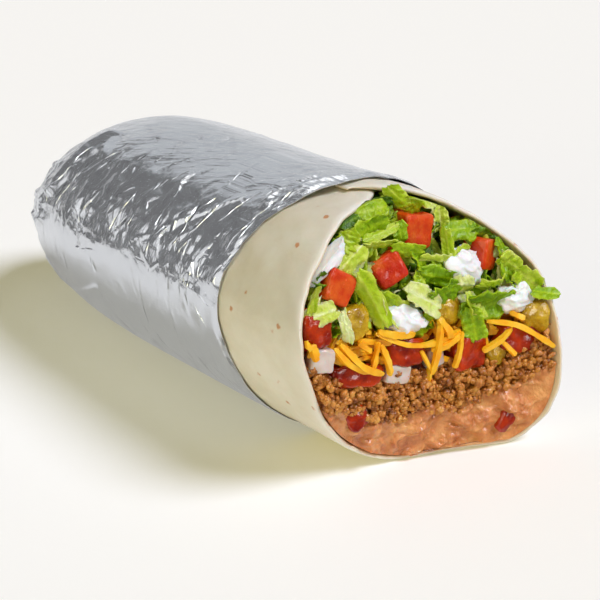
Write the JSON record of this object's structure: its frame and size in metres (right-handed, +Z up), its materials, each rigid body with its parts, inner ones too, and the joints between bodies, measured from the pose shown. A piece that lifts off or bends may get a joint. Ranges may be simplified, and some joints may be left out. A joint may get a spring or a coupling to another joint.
{
  "type": "burrito",
  "caption": "Foil-wrapped burrito cut open at one end, showing layers of beans, ground beef, salsa, cheese, lettuce, tomato and sour cream.",
  "frame": {"origin": "under the middle of the whole, on the surface that the roll rests on", "axes": "+Z up, +Y along the roll from the open cut mouth to the closed tail, +X to the right as the mouth is seen"},
  "size_m": [0.0851, 0.2007, 0.0752],
  "materials": {
    "foil": "bright crumpled aluminium foil",
    "tortilla": "matte pale flour tortilla with a few toasted flecks",
    "beans": "wet glossy refried beans",
    "beef": "moist crumbled ground beef",
    "salsa": "dark wet red salsa and its tomato pieces",
    "cheese": "shredded orange-yellow cheese",
    "lettuce": "crisp shredded green lettuce",
    "tomato": "wet cut fresh tomato",
    "cream": "soft white sour cream",
    "chile": "wet olive-green cut chile",
    "onion": "wet pale translucent onion"
  },
  "bodies": {
    "root": {"foil_wrap": "foil", "tortilla": "tortilla", "refried_beans": "beans", "ground_beef": "beef", "salsa": "salsa", "shredded_cheese": "cheese", "lettuce": "lettuce", "tomato_dice_1": "tomato", "tomato_dice_2": "tomato", "tomato_dice_3": "tomato", "tomato_dice_4": "tomato", "sour_cream_1": "cream", "sour_cream_2": "cream", "sour_cream_3": "cream", "sour_cream_4": "cream", "green_chile_1": "chile", "green_chile_2": "chile", "green_chile_3": "chile", "green_chile_4": "chile", "green_chile_5": "chile", "salsa_tomato_1": "salsa", "salsa_tomato_2": "salsa", "salsa_tomato_3": "salsa", "salsa_tomato_4": "salsa", "salsa_tomato_5": "salsa", "onion_dice_1": "onion", "onion_dice_2": "onion", "onion_dice_3": "onion", "bean_tomato_1": "salsa", "bean_tomato_2": "salsa"}
  },
  "joints": []
}
